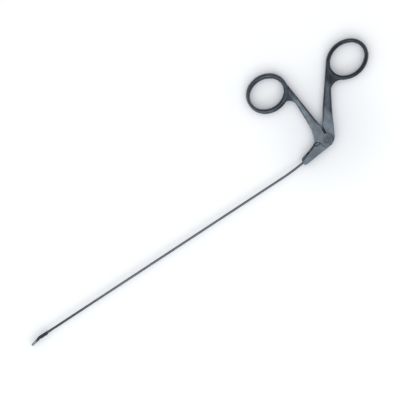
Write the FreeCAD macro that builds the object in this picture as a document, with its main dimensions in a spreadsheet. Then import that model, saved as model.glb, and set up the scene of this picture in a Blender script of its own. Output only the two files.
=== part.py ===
import FreeCAD, Part
import math
import os
import Sketcher
from FreeCAD import Placement, Rotation, Vector

# Slim ring-handled grasping forceps, lying on its side.
# Origin: pivot axis at the underside. -X runs out along the shaft to the jaws,
# +Y goes up the handles to the finger rings, +Z is through the handle plate.

SIZES = {
    # handle plate
    "plate_thick": 7.0,
    "edge_round": 0.8,
    "under_bevel": 0.5,
    # nose: its two sides measured from the bore, the ledge cut along its upper side
    "nose_low": 2.83,
    "nose_low_round": 1.5,
    "nose_high": 3.11,
    "nose_high_round": 2.9,
    "ledge_inset": 0.7,
    "ledge_turn": 19.5,
    "ledge_deep": 1.4,
    "ledge_slope": 0.2,
    "ledge_long": 18.0,
    "ledge_wide": 6.0,
    "ledge_lead": 2.0,
    "shoulder_x": -14.6,
    "shoulder_y": 0.8,
    "shoulder_round": 25.0,
    "heel_x": 4.85,
    "heel_y": -4.7,
    "heel_round": 9.0,
    # lap joint at the pivot
    "boss_radius": 5.2,
    "lap_height": 4.2,
    "lap_gap": 0.05,
    "hub_radius": 9.2,
    "hub_gap": 0.25,
    "hub_end_angle": 158.0,
    "opening_angle": 15.0,
    "toe_angle": 163.0,
    "toe_radius": 7.6,
    "toe_gap_angle": 1.0,
    # arms: sides of the root square to the arm, then the bars' own sections
    "thumb_arm_angle": 56.7,
    "thumb_root_low": 3.05,
    "thumb_root_high": 5.2,
    "thumb_root_reach": 13.0,
    "finger_root_y": 11.5,
    "finger_root_left": 5.2,
    "finger_root_right": 2.15,
    "thumb_bar_reach": 24.0,
    "thumb_bar_low": 2.95,
    "thumb_bar_high": 4.2,
    "thumb_neck_reach": 42.0,
    "thumb_neck_low": 1.75,
    "thumb_neck_high": 3.3,
    "thumb_end_reach": 61.0,
    "thumb_end_low": 0.5,
    "thumb_end_high": 2.6,
    "finger_bar_y": 21.5,
    "finger_bar_left": 4.65,
    "finger_bar_right": 1.1,
    "finger_neck_y": 40.5,
    "finger_neck_left": 4.3,
    "finger_neck_right": -0.6,
    "finger_end_y": 57.0,
    "finger_end_left": 5.2,
    "finger_end_right": -2.4,
    "arm_corner": 1.35,
    "arm_thin": 5.4,
    "arm_bar_extra": 0.6,
    "arm_end_extra": 0.4,
    # rings: centre and half sizes of the hole, then the band at its ends and sides
    "finger_ring_x": -18.7,
    "finger_ring_y": 54.4,
    "finger_ring_tilt": -1.6,
    "finger_hole_long": 13.55,
    "finger_hole_short": 11.01,
    "finger_band_end": 3.05,
    "finger_band_side": 4.0,
    "finger_band_shift": 0.45,
    "thumb_ring_x": 47.1,
    "thumb_ring_y": 43.05,
    "thumb_ring_tilt": 7.5,
    "thumb_hole_long": 14.36,
    "thumb_hole_short": 11.21,
    "thumb_band_end": 3.05,
    "thumb_band_side": 3.35,
    "thumb_band_shift": 0.0,
    "ring_bevel": 1.0,
    "web_thick": 5.0,
    # pivot screw
    "screw_head_radius": 1.8,
    "screw_head_deep": 1.1,
    "screw_head_sink": 0.03,
    "screw_foot_sink": 0.3,
    "screw_shoulder_radius": 1.25,
    "screw_thread_radius": 1.0,
    "screw_slot_wide": 0.45,
    "screw_slot_deep": 0.35,
    "screw_slot_turn": 25.0,
    "running_gap": 0.04,
    "seat_gap": 0.02,
    # drive from the boss to the rod
    "nose_end_x": -24.4,
    "nose_end_y": -4.75,
    "nose_tilt": 4.8,
    "drive_pin_radius": 0.5,
    "drive_pin_end": 0.15,
    "drive_pin_seat": 1.4,
    "slider_long": 5.0,
    "slider_back": 1.4,
    "slider_wide": 2.0,
    "slider_thick": 1.3,
    "slider_cover": 0.05,
    "slider_front_room": 0.6,
    "slider_back_room": 1.2,
    "slider_play": 0.2,
    "eye_extra": 0.15,
    "rod_socket": 1.6,
    # shaft
    "shaft_y": -5.85,
    "shaft_bend_radius": 143.0,
    "tube_radius": 0.9,
    "tube_wall": 0.25,
    "rod_radius": 0.45,
    "channel_radius": 1.0,
    "ferrule_wall": 0.28,
    "ferrule_long": 12.0,
    "grub_x": -17.3,
    "grub_radius": 0.75,
    "grub_long": 2.3,
    "grub_tilt": 28.0,
    "grub_slot_wide": 0.3,
    "grub_slot_deep": 0.5,
    # tip
    "box_start_x": -258.6,
    "tube_insert": 1.4,
    "collar_wall": 0.23,
    "collar_long": 2.0,
    "tongue_start_x": -260.9,
    "tongue_socket_long": 1.4,
    "tongue_socket_radius": 0.68,
    "tongue_thick": 0.46,
    "box_bore_radius": 0.8,
    "box_bore_long": 4.4,
    "box_end_x": -266.6,
    "box_high": 2.6,
    "box_thick": 2.4,
    "box_axis_drop": 0.15,
    "box_slot": 1.04,
    "jaw_bend": 12.0,
    "jaw_long": 7.2,
    "jaw_half": 1.0,
    "jaw_root_y": -6.25,
    "jaw_wide": 2.2,
    "jaw_bevel": 0.4,
    "jaw_gap": 0.05,
    "jaw_pivot_x": -265.2,
    "jaw_pivot_y": -5.35,
    "jaw_pin_radius": 0.3,
    "jaw_crank": 1.15,
    "jaw_crank_lead": 0.35,
    "jaw_relief_radius": 1.45,
    "jaw_tail_thick": 0.46,
    "jaw_play": 0.03,
    "tooth_pitch": 0.62,
    "tooth_deep": 0.2,
}
TOOTH_COUNT = 9

doc = FreeCAD.newDocument("RingHandledForceps")
sheet = doc.addObject("Spreadsheet::Sheet", "Sizes")
for row, (alias, value) in enumerate(SIZES.items(), start=1):
    sheet.set("A%d" % row, alias)
    sheet.set("B%d" % row, str(value))
    sheet.setAlias("B%d" % row, alias)
doc.recompute()


def value(formula):
    """Number that an expression on the sheet's sizes gives now."""
    result = sheet.evalExpression(formula)
    return float(getattr(result, "Value", result))


MID_HEIGHT = "(Sizes.plate_thick / 2)"
SHAFT_HEIGHT = "(Sizes.lap_height - Sizes.slider_cover - Sizes.slider_thick / 2)"
DRIVE_PIN_REACH = "(Sizes.slider_cover + Sizes.slider_thick + Sizes.drive_pin_end)"
FERRULE_BORE = "(Sizes.tube_radius + Sizes.seat_gap)"
FERRULE_RADIUS = "(%s + Sizes.ferrule_wall)" % FERRULE_BORE
COLLAR_RADIUS = "(%s + Sizes.collar_wall)" % FERRULE_BORE
PIN_DISTANCE = "(-Sizes.nose_end_x / cos(Sizes.nose_tilt * 1 deg))"
SLIDER_END = "(%s - Sizes.slider_long + Sizes.slider_back)" % PIN_DISTANCE
PIN_Y = "(Sizes.nose_end_y - Sizes.nose_end_x * tan(Sizes.nose_tilt * 1 deg))"
BOX_Y = "(Sizes.shaft_y - Sizes.box_axis_drop)"
CRANK_TURN = "-90 - atan(Sizes.jaw_crank_lead / Sizes.jaw_crank) / 1 deg"
TAIL_HEIGHT = SHAFT_HEIGHT + " - Sizes.box_slot / 4"
BLADE_HEIGHT = SHAFT_HEIGHT + " + Sizes.box_slot / 4"
DRIVEN_PIN = ("(Sizes.jaw_pivot_x - Sizes.jaw_crank_lead)", "(Sizes.jaw_pivot_y - Sizes.jaw_crank)")


def new_body(label):
    body = doc.addObject("PartDesign::Body", label.title().replace("_", ""))
    body.Label = label
    return body


def origin_plane(body, role):
    return next(item for item in body.Origin.OriginFeatures if item.Role == role)


def new_sketch(body, name, role, base=("0", "0", "0"), axis=None, angle="0"):
    """Sketch on an origin plane of its body, shifted by base and turned about axis."""
    sketch = body.newObject("Sketcher::SketchObject", name)
    sketch.AttachmentSupport = [(origin_plane(body, role), "")]
    sketch.MapMode = "FlatFace"
    turn = Rotation(axis, value(angle)) if axis else Rotation()
    sketch.AttachmentOffset = Placement(Vector(*[value(part) for part in base]), turn)
    for letter, formula in zip("xyz", base):
        sketch.setExpression("AttachmentOffset.Base." + letter, formula)
    if axis:
        sketch.setExpression("AttachmentOffset.Rotation.Angle", "(%s) * 1 deg" % angle)
    return sketch


def fix_value(sketch, constraint, formula):
    index = sketch.addConstraint(constraint)
    sketch.setExpression("Constraints[%d]" % index, formula)


def bulge_arc(start, end, radius):
    """Arc between two points and the numbers of its ends at start and at end.

    A positive radius bows to the right of the way from start to end. Arcs run
    anticlockwise, so one that bows to the left is drawn from end to start.
    """
    chord = end - start
    half = chord.Length / 2
    size = max(abs(radius), half * 1.0001)
    rise = size - math.sqrt(size * size - half * half)
    side = Vector(chord.y, -chord.x, 0).normalize() * math.copysign(rise, radius)
    middle = (start + end) * 0.5 + side
    if radius > 0:
        return Part.Arc(start, middle, end), (1, 2)
    return Part.Arc(end, middle, start), (2, 1)


def fix_point(sketch, geometry, end, x_formula, y_formula):
    fix_value(sketch, Sketcher.Constraint("DistanceX", -1, 1, geometry, end, value(x_formula)), x_formula)
    fix_value(sketch, Sketcher.Constraint("DistanceY", -1, 1, geometry, end, value(y_formula)), y_formula)


def draw_outline(sketch, corners, bows=None):
    """Closed anticlockwise outline through corners given as formulas.

    A corner is (x, y), or (x, y, radius) where it is rounded. bows maps a corner's
    number to the radius formula of the arc that leaves it in place of a line.
    """
    bows = bows or {}
    spots = [Vector(value(corner[0]), value(corner[1]), 0) for corner in corners]
    count = len(corners)
    trims = []
    for number, corner in enumerate(corners):
        if len(corner) == 2:
            trims.append(0)
            continue
        way_in = spots[number] - spots[number - 1]
        way_out = spots[(number + 1) % count] - spots[number]
        trims.append(value(corner[2]) * math.tan(way_in.getAngle(way_out) / 2))
    sides = []
    for number, spot in enumerate(spots):
        after = (number + 1) % count
        if number in bows:
            arc, ends = bulge_arc(spot, spots[after], value(bows[number]))
            index = sketch.addGeometry(arc, False)
            size = "abs(%s)" % bows[number]
            fix_value(sketch, Sketcher.Constraint("Radius", index, value(size)), size)
        else:
            way = (spots[after] - spot).normalize()
            line = Part.LineSegment(spot + way * trims[number], spots[after] - way * trims[after])
            index, ends = sketch.addGeometry(line, False), (1, 2)
        sides.append((index, ends))
    for number, corner in enumerate(corners):
        before, into = sides[number - 1]
        after, out_of = sides[number]
        if len(corner) == 2:
            sketch.addConstraint(Sketcher.Constraint("Coincident", before, into[1], after, out_of[0]))
            fix_point(sketch, after, out_of[0], corner[0], corner[1])
            continue
        way_in = (spots[number] - spots[number - 1]).normalize()
        way_out = (spots[(number + 1) % count] - spots[number]).normalize()
        start, end = spots[number] - way_in * trims[number], spots[number] + way_out * trims[number]
        left_turn = way_in.cross(way_out).z > 0
        arc, ends = bulge_arc(start, end, value(corner[2]) * (1 if left_turn else -1))
        index = sketch.addGeometry(arc, False)
        peak = sketch.addGeometry(Part.Point(spots[number]), True)
        fix_point(sketch, peak, 1, corner[0], corner[1])
        sketch.addConstraint(Sketcher.Constraint("PointOnObject", peak, 1, before))
        sketch.addConstraint(Sketcher.Constraint("PointOnObject", peak, 1, after))
        sketch.addConstraint(Sketcher.Constraint("Tangent", before, 2, index, ends[0]))
        sketch.addConstraint(Sketcher.Constraint("Tangent", after, 1, index, ends[1]))
        fix_value(sketch, Sketcher.Constraint("Radius", index, value(corner[2])), corner[2])
    return sketch


def draw_circle(sketch, x_formula, y_formula, radius_formula):
    centre = Vector(value(x_formula), value(y_formula), 0)
    index = sketch.addGeometry(Part.Circle(centre, Vector(0, 0, 1), value(radius_formula)), False)
    fix_point(sketch, index, 3, x_formula, y_formula)
    fix_value(sketch, Sketcher.Constraint("Radius", index, value(radius_formula)), radius_formula)
    return sketch


def draw_oval(sketch, long_half, short_half):
    """Oval of four tangent arcs about the sketch's origin, its long axis level."""
    sizes = {"a": "(%s)" % long_half, "b": "(%s)" % short_half}
    sizes["end"] = "(1.07 * {b} * {b} / {a})".format(**sizes)
    sizes["side"] = "((({a} - {end}) ^ 2 + {b} ^ 2 - {end} ^ 2) / (2 * ({b} - {end})))".format(**sizes)
    join_x = "({side} * ({a} - {end}) / ({side} - {end}))".format(**sizes)
    join_y = "({end} * ({side} - {b}) / ({side} - {end}))".format(**sizes)
    corners = [(join_x, "-" + join_y), (join_x, join_y), ("-" + join_x, join_y), ("-" + join_x, "-" + join_y)]
    bows = {0: sizes["end"], 1: sizes["side"], 2: sizes["end"], 3: sizes["side"]}
    return draw_outline(sketch, corners, bows)


def box_outline(x_low, x_high, y_low, y_high):
    return [(x_low, y_low), (x_high, y_low), (x_high, y_high), (x_low, y_high)]


def add_pad(body, name, sketch, length, midplane=False):
    pad = body.newObject("PartDesign::Pad", name)
    pad.Profile = (sketch, [""])
    pad.Length = value(length)
    pad.setExpression("Length", length)
    pad.Midplane = midplane
    doc.recompute()
    return pad


def add_pocket(body, name, sketch, length, midplane=False, reverse=False):
    """Pocket whose direction is tested: it has to take something away."""
    before = body.Shape.Volume
    pocket = body.newObject("PartDesign::Pocket", name)
    pocket.Profile = (sketch, [""])
    pocket.Length = value(length)
    pocket.setExpression("Length", length)
    pocket.Midplane = midplane
    pocket.Reversed = reverse
    doc.recompute()
    if not pocket.Shape.Volume < before - 1e-6:
        raise ValueError(name + " cuts nothing")
    return pocket


def dress_edges(body, kind, name, base, chosen, **sizes):
    """Fillet or chamfer on the base's edges that the test 'chosen' picks."""
    names = ["Edge%d" % (number + 1) for number, edge in enumerate(base.Shape.Edges) if chosen(edge)]
    feature = body.newObject("PartDesign::" + kind, name)
    feature.Base = (base, names)
    for prop, formula in sizes.items():
        setattr(feature, prop, value(formula))
        feature.setExpression(prop, formula)
    doc.recompute()
    return feature


def section_loft(body, name, stations, turn):
    """Bar through sections whose corners are rounded off by two flats each.

    Each station gives formulas for its place on the ground, its two sides across
    the bar, its height and its corner size.
    """
    sections = []
    for number, (x_place, y_place, low, high, height, corner) in enumerate(stations):
        sketch = new_sketch(body, "%sSection%d" % (name, number), "XZ_Plane",
                            (x_place, MID_HEIGHT, "-(%s)" % y_place), Vector(0, 1, 0), turn)
        half = "(%s) / 2" % height
        flats = [("0", "(%s)" % corner), ("(1 - cos(45 deg)) * (%s)" % corner,) * 2, ("(%s)" % corner, "0")]
        points = []
        for side, inward, up in ((high, "-", ""), (high, "-", "-"), (low, "+", "-"), (low, "+", "")):
            steps = flats if (inward == "-") == (up == "-") else flats[::-1]
            points += [("%s %s %s" % (side, inward, across), "%s(%s - %s)" % (up, half, down))
                       for across, down in steps]
        draw_outline(sketch, points[::-1])
        sections.append(sketch)
    doc.recompute()
    loft = body.newObject("PartDesign::AdditiveLoft", name)
    loft.Profile = (sections[0], [""])
    loft.Sections = [(sketch, [""]) for sketch in sections[1:]]
    loft.Ruled = True
    doc.recompute()
    return loft


def ring_band(body, name, prefix):
    """Oval finger or thumb ring, its band wider at the sides, with bevelled edges."""
    size = "Sizes." + prefix
    centre = (size + "_ring_x", size + "_ring_y")
    shift = [on_circle(size + "_band_shift", size + "_ring_tilt")[axis] for axis in (0, 1)]
    outer = new_sketch(body, name + "Outer", "XY_Plane",
                       ("%s + %s" % (centre[0], shift[0]), "%s + %s" % (centre[1], shift[1]), "0"),
                       Vector(0, 0, 1), size + "_ring_tilt")
    draw_oval(outer, "%s_hole_long + %s_band_end" % (size, size),
              "%s_hole_short + %s_band_side" % (size, size))
    add_pad(body, name, outer, "Sizes.plate_thick")
    inner = new_sketch(body, name + "Inner", "XY_Plane", centre + ("Sizes.plate_thick",),
                       Vector(0, 0, 1), size + "_ring_tilt")
    draw_oval(inner, size + "_hole_long", size + "_hole_short")
    hole = add_pocket(body, name + "Hole", inner, "Sizes.plate_thick")
    level = lambda edge: edge.BoundBox.ZLength < 1e-6
    narrowest = "(%s_band_end - %s_band_shift)" % (size, size)
    return dress_edges(body, "Chamfer", name + "Bevel", hole, level,
                       Size="min(Sizes.ring_bevel; 0.4 * %s)" % narrowest)


def along_nose(distance):
    """Point on the nose's bore axis, measured from its mouth into the handle."""
    return ("Sizes.nose_end_x + (%s) * cos(Sizes.nose_tilt * 1 deg)" % distance,
            "Sizes.nose_end_y + (%s) * sin(Sizes.nose_tilt * 1 deg)" % distance)


def nose_section(body, name, distance):
    """Sketch square to the nose's bore axis; its normal points into the handle."""
    x_place, y_place = along_nose(distance)
    return new_sketch(body, name, "YZ_Plane", (y_place, SHAFT_HEIGHT, x_place),
                      Vector(0, 1, 0), "Sizes.nose_tilt")


def shaft_section(body, name, x_place):
    """Sketch square to the straight shaft; its normal points to the handle."""
    return new_sketch(body, name, "YZ_Plane", ("Sizes.shaft_y", SHAFT_HEIGHT, x_place))


def shaft_path(body, name, start_distance, end_x):
    """Centre line of the shaft: out of the nose, round one gentle bend, then straight."""
    sketch = new_sketch(body, name, "XY_Plane", ("0", "0", SHAFT_HEIGHT))
    corner_x = "(Sizes.nose_end_x - (Sizes.nose_end_y - Sizes.shaft_y) / tan(Sizes.nose_tilt * 1 deg))"
    reach = "(Sizes.shaft_bend_radius * tan(Sizes.nose_tilt * 0.5 deg))"
    bend_in = (corner_x + " + %s * cos(Sizes.nose_tilt * 1 deg)" % reach,
               "Sizes.shaft_y + %s * sin(Sizes.nose_tilt * 1 deg)" % reach)
    bend_out = (corner_x + " - " + reach, "Sizes.shaft_y")
    stops = [along_nose(start_distance), bend_in, bend_out, (end_x, "Sizes.shaft_y")]
    spots = [Vector(value(x), value(y), 0) for x, y in stops]
    sketch.addGeometry(Part.LineSegment(spots[0], spots[1]), False)
    arc, (first, last) = bulge_arc(spots[1], spots[2], -value("Sizes.shaft_bend_radius"))
    sketch.addGeometry(arc, False)
    sketch.addGeometry(Part.LineSegment(spots[2], spots[3]), False)
    joints = [(0, 1, stops[0]), (1, first, stops[1]), (1, last, stops[2]), (2, 2, stops[3])]
    for edge, end, (x_formula, y_formula) in joints:
        fix_point(sketch, edge, end, x_formula, y_formula)
    sketch.addConstraint(Sketcher.Constraint("Coincident", 0, 2, 1, first))
    sketch.addConstraint(Sketcher.Constraint("Coincident", 1, last, 2, 1))
    fix_value(sketch, Sketcher.Constraint("Radius", 1, value("Sizes.shaft_bend_radius")),
              "Sizes.shaft_bend_radius")
    return sketch


def shaft_pipe(body, start_distance, end_x, radii):
    """Bar or tube along the shaft's centre line, one circle per radius."""
    path = shaft_path(body, "CentreLine", start_distance, end_x)
    section = nose_section(body, "Section", start_distance)
    for radius in radii:
        draw_circle(section, "0", "0", radius)
    doc.recompute()
    pipe = body.newObject("PartDesign::AdditivePipe", "Length")
    pipe.Profile = (section, [""])
    pipe.Spine = (path, ["Edge1", "Edge2", "Edge3"])
    doc.recompute()
    return pipe


def on_circle(radius, angle):
    return ("%s * cos(%s * 1 deg)" % (radius, angle), "%s * sin(%s * 1 deg)" % (radius, angle))


def along_thumb_arm(reach, offset):
    """Point reach out from the pivot along the thumb arm and offset to its right."""
    turn = "(Sizes.thumb_arm_angle * 1 deg)"
    return ("(%s) * cos(%s) + (%s) * sin(%s)" % (reach, turn, offset, turn),
            "(%s) * sin(%s) - (%s) * cos(%s)" % (reach, turn, offset, turn))


def edge_at(height, inside):
    """Test for edges that lie at one height and whose middle passes a plan test."""
    def test(edge):
        box = edge.BoundBox
        level = abs(box.ZMin - height) < 1e-4 and abs(box.ZMax - height) < 1e-4
        middle = edge.valueAt((edge.FirstParameter + edge.LastParameter) / 2)
        return level and inside(middle)
    return test


def make_rear_handle():
    """Body with the nose, the thumb arm and the thumb ring: one forging that stays still."""
    body = new_body("rear_handle")
    ring_band(body, "ThumbRing", "thumb")
    hub = "Sizes.hub_radius"
    root = "Sizes.thumb_root_reach"
    outline = [
        ("Sizes.nose_end_x", "Sizes.nose_end_y - Sizes.nose_low", "Sizes.nose_low_round"),
        ("Sizes.heel_x", "Sizes.heel_y", "Sizes.heel_round"),
        along_thumb_arm(root + " + 0.5", "Sizes.thumb_root_high + 0.13"),
        along_thumb_arm(root + " + 1", "-Sizes.thumb_root_low"),
        along_thumb_arm(root + " - 1.7", "-Sizes.thumb_root_low - 0.25"),
        on_circle(hub, "69.3"), on_circle(hub, "Sizes.hub_end_angle"),
        ("Sizes.shoulder_x", "Sizes.shoulder_y", "Sizes.shoulder_round"),
        ("Sizes.nose_end_x", "Sizes.nose_end_y + Sizes.nose_high", "Sizes.nose_high_round"),
    ]
    plate = new_sketch(body, "PlateOutline", "XY_Plane")
    draw_outline(plate, outline, {5: hub})
    pad = add_pad(body, "Plate", plate, "Sizes.plate_thick")
    rim = lambda p: p.x < -8.6 or p.y < -3.2 or (p.x > 5 and p.y < 6)
    top_round = dress_edges(body, "Fillet", "TopRound", pad, edge_at(value("Sizes.plate_thick"), rim),
                            Radius="Sizes.edge_round")
    dress_edges(body, "Chamfer", "UnderBevel", top_round, edge_at(0, rim), Size="Sizes.under_bevel")
    cut_nose_ledge(body)
    stations = [
        (root, "-Sizes.thumb_root_low", "Sizes.thumb_root_high", "Sizes.plate_thick", "Sizes.edge_round"),
        ("Sizes.thumb_bar_reach", "-Sizes.thumb_bar_low", "Sizes.thumb_bar_high",
         "Sizes.arm_thin + Sizes.arm_bar_extra", "Sizes.arm_corner"),
        ("Sizes.thumb_neck_reach", "-Sizes.thumb_neck_low", "Sizes.thumb_neck_high",
         "Sizes.arm_thin", "Sizes.arm_corner"),
        ("Sizes.thumb_end_reach", "-Sizes.thumb_end_low", "Sizes.thumb_end_high",
         "Sizes.arm_thin + Sizes.arm_end_extra", "Sizes.arm_corner"),
    ]
    places = [on_circle(station[0], "Sizes.thumb_arm_angle") + station[1:] for station in stations]
    section_loft(body, "Arm", places, "Sizes.thumb_arm_angle - 90")
    web = new_sketch(body, "WebOutline", "XY_Plane", ("0", "0", MID_HEIGHT))
    draw_outline(web, [("24.6", "31.0"), ("36.0", "31.2"), ("34.0", "36.0"), ("32.0", "40.0"),
                       ("31.4", "46.0"), ("25.0", "38.0")], {0: "-8.5"})
    add_pad(body, "Web", web, "Sizes.web_thick", midplane=True)

    recess = new_sketch(body, "BossRecess", "XY_Plane", ("0", "0", "Sizes.plate_thick"))
    draw_circle(recess, "0", "0", "Sizes.boss_radius + Sizes.lap_gap")
    add_pocket(body, "Recess", recess, "Sizes.plate_thick - Sizes.lap_height")
    swing = new_sketch(body, "SwingOutline", "XY_Plane", ("0", "0", "Sizes.plate_thick"))
    wall_angle = "(Sizes.toe_angle + Sizes.opening_angle + Sizes.toe_gap_angle)"
    room = "(%s + 2 * Sizes.hub_gap)" % hub
    draw_outline(swing, [("0", "0"), ("2.6", "4.6"), ("3.25", "8.6"), ("2.6", "10.5"), ("-3", "12"),
                         ("-12", "10"), on_circle(room, "150"), on_circle(room, wall_angle)], {6: room})
    add_pocket(body, "SwingRoom", swing, "Sizes.plate_thick - Sizes.lap_height")

    thread = new_sketch(body, "ScrewHole", "XY_Plane", ("0", "0", "Sizes.lap_height"))
    draw_circle(thread, "0", "0", "Sizes.screw_thread_radius + Sizes.seat_gap")
    add_pocket(body, "ScrewThread", thread, "Sizes.lap_height")
    slide = slider_sketch(body, "SliderRoom", "Sizes.lap_height")
    draw_outline(slide, box_outline(
        "-(Sizes.slider_long - Sizes.slider_back) - Sizes.slider_front_room",
        "Sizes.slider_back + Sizes.slider_back_room",
        "-Sizes.slider_wide / 2 - Sizes.slider_play", "Sizes.slider_wide / 2 + Sizes.slider_play"))
    add_pocket(body, "SliderSlot", slide, DRIVE_PIN_REACH + " + 0.1")

    mouth = nose_section(body, "NoseMouth", "-1")
    draw_circle(mouth, "0", "0", FERRULE_RADIUS + " + Sizes.seat_gap")
    add_pocket(body, "FerruleBore", mouth, "Sizes.ferrule_long + 1", reverse=True)
    channel = nose_section(body, "RodChannel", "0")
    draw_circle(channel, "0", "0", "Sizes.channel_radius")
    add_pocket(body, "RodBore", channel, SLIDER_END, reverse=True)
    grub = grub_sketch(body, "GrubHole")
    draw_circle(grub, "0", "0", "Sizes.grub_radius + Sizes.seat_gap")
    add_pocket(body, "GrubBore", grub, "8")
    return body


def cut_nose_ledge(body):
    """Sloping step along the nose's upper side, cut from just off the mouth."""
    ledge_x = "Sizes.nose_end_x - Sizes.ledge_lead"
    ledge_y = "(Sizes.nose_end_y + Sizes.ledge_inset - Sizes.ledge_lead * tan(Sizes.ledge_turn * 1 deg))"
    step = new_sketch(body, "LedgeSection", "YZ_Plane", (ledge_y, "Sizes.plate_thick", ledge_x),
                      Vector(0, 1, 0), "Sizes.ledge_turn")
    draw_outline(step, [
        ("0", "0"), ("0.3 * Sizes.ledge_deep", "-Sizes.ledge_deep"),
        ("Sizes.ledge_wide", "-Sizes.ledge_deep - Sizes.ledge_wide * Sizes.ledge_slope"),
        ("Sizes.ledge_wide", "1"), ("0", "1")])
    add_pocket(body, "NoseLedge", step, "Sizes.ledge_long + Sizes.ledge_lead", reverse=True)


def slider_sketch(body, name, height):
    """Sketch over the drive pin, its level axis along the nose's bore."""
    return new_sketch(body, name, "XY_Plane", ("0", PIN_Y, height), Vector(0, 0, 1), "Sizes.nose_tilt")


def grub_sketch(body, name, outward="0"):
    """Sketch square to the grub screw, outward from the ferrule's side; its normal points inward."""
    turn = "(Sizes.grub_tilt * 1 deg)"
    axis_y = "(Sizes.nose_end_y + (Sizes.grub_x - Sizes.nose_end_x) * tan(Sizes.nose_tilt * 1 deg))"
    reach = "(%s + Sizes.seat_gap + %s)" % (FERRULE_RADIUS, outward)
    base = ("Sizes.grub_x", "%s + %s * sin(%s)" % (SHAFT_HEIGHT, reach, turn),
            "-%s - %s * cos(%s)" % (axis_y, reach, turn))
    return new_sketch(body, name, "XZ_Plane", base, Vector(1, 0, 0), "Sizes.grub_tilt")


def make_front_handle():
    """Finger lever: a round boss lapped into the body, the arm and the finger ring."""
    body = new_body("front_handle")
    ring_band(body, "FingerRing", "finger")
    hub = "Sizes.hub_radius"
    left, right, root = "-Sizes.finger_root_left", "Sizes.finger_root_right", "Sizes.finger_root_y"
    top = root + " + 1.5"
    outline = [
        ("0.9", "0"), ("1.6", "8.2", "20"), (right + " + 0.1", root + " - 0.7", "4"), (right, top),
        (left, top), (left + " - 1.0", root + " - 2.0", "20"),
        on_circle(hub, "145.5"), on_circle(hub, "156"),
        on_circle("Sizes.toe_radius", "Sizes.toe_angle"), on_circle("3.5", "Sizes.toe_angle"),
    ]
    foot = new_sketch(body, "FootOutline", "XY_Plane")
    draw_outline(foot, outline, {6: hub})
    pad = add_pad(body, "Foot", foot, "Sizes.plate_thick")
    flanks = lambda p: 1 < p.y < value(top) - 0.1
    top_round = dress_edges(body, "Fillet", "TopRound", pad, edge_at(value("Sizes.plate_thick"), flanks),
                            Radius="Sizes.edge_round")
    dress_edges(body, "Chamfer", "UnderBevel", top_round, edge_at(0, flanks), Size="Sizes.under_bevel")
    disc = new_sketch(body, "BossOutline", "XY_Plane")
    draw_circle(disc, "0", "0", "Sizes.boss_radius")
    add_pad(body, "Boss", disc, "Sizes.plate_thick")
    under = new_sketch(body, "HubRoom", "XY_Plane")
    draw_circle(under, "0", "0", hub + " + Sizes.hub_gap")
    add_pocket(body, "HubRelief", under, "Sizes.lap_height + Sizes.running_gap", reverse=True)

    section_loft(body, "Arm", [
        ("0", root, left, right, "Sizes.plate_thick", "Sizes.edge_round"),
        ("0", "Sizes.finger_bar_y", "-Sizes.finger_bar_left", "Sizes.finger_bar_right",
         "Sizes.arm_thin + Sizes.arm_bar_extra", "Sizes.arm_corner"),
        ("0", "Sizes.finger_neck_y", "-Sizes.finger_neck_left", "Sizes.finger_neck_right",
         "Sizes.arm_thin", "Sizes.arm_corner"),
        ("0", "Sizes.finger_end_y", "-Sizes.finger_end_left", "Sizes.finger_end_right",
         "Sizes.arm_thin + Sizes.arm_end_extra", "Sizes.arm_corner"),
    ], "0")
    web = new_sketch(body, "WebOutline", "XY_Plane", ("0", "0", MID_HEIGHT))
    draw_outline(web, [("-2.5", "36"), ("-2.5", "50"), ("-5.0", "50"), ("-8.0", "46.2"), ("-11.0", "43.9"),
                       ("-12.5", "41.2"), ("-4.2", "35.5")], {5: "-6.5"})
    add_pad(body, "Web", web, "Sizes.web_thick", midplane=True)

    hole = new_sketch(body, "ShoulderHole", "XY_Plane", ("0", "0", "Sizes.plate_thick"))
    draw_circle(hole, "0", "0", "Sizes.screw_shoulder_radius + Sizes.running_gap")
    add_pocket(body, "ShoulderBore", hole, "Sizes.plate_thick")
    seat = new_sketch(body, "HeadSeat", "XY_Plane", ("0", "0", "Sizes.plate_thick"))
    draw_circle(seat, "0", "0", "Sizes.screw_head_radius + Sizes.running_gap")
    add_pocket(body, "HeadRecess", seat, "Sizes.screw_head_deep + Sizes.running_gap")
    pin = new_sketch(body, "PinHole", "XY_Plane", ("0", PIN_Y, "Sizes.lap_height"))
    draw_circle(pin, "0", "0", "Sizes.drive_pin_radius + Sizes.seat_gap")
    add_pocket(body, "PinBore", pin, "Sizes.drive_pin_seat", reverse=True)
    return body


def make_pivot_screw():
    """Shoulder screw with a slotted head, flush with the handle's face."""
    body = new_body("pivot_screw")
    profile = new_sketch(body, "HalfProfile", "XZ_Plane")
    head_low = "Sizes.plate_thick - Sizes.screw_head_deep"
    head_top = "(Sizes.plate_thick - Sizes.screw_head_sink)"
    points = [
        ("0", "Sizes.screw_foot_sink"), ("Sizes.screw_thread_radius", "Sizes.screw_foot_sink"),
        ("Sizes.screw_thread_radius", "Sizes.lap_height"),
        ("Sizes.screw_shoulder_radius", "Sizes.lap_height"), ("Sizes.screw_shoulder_radius", head_low),
        ("Sizes.screw_head_radius", head_low), ("Sizes.screw_head_radius", head_top + " - 0.1"),
        ("Sizes.screw_head_radius - 0.1", head_top), ("0", head_top),
    ]
    draw_outline(profile, points)
    feature = body.newObject("PartDesign::Revolution", "Turned")
    feature.Profile = (profile, [""])
    feature.ReferenceAxis = (profile, ["V_Axis"])
    feature.Angle = 360
    doc.recompute()
    slot = new_sketch(body, "Slot", "XY_Plane", ("0", "0", "Sizes.plate_thick"), Vector(0, 0, 1),
                      "Sizes.screw_slot_turn")
    draw_outline(slot, box_outline("-Sizes.screw_head_radius - 1", "Sizes.screw_head_radius + 1",
                                   "-Sizes.screw_slot_wide / 2", "Sizes.screw_slot_wide / 2"))
    add_pocket(body, "ScrewSlot", slot, "Sizes.screw_slot_deep")
    return body


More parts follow.
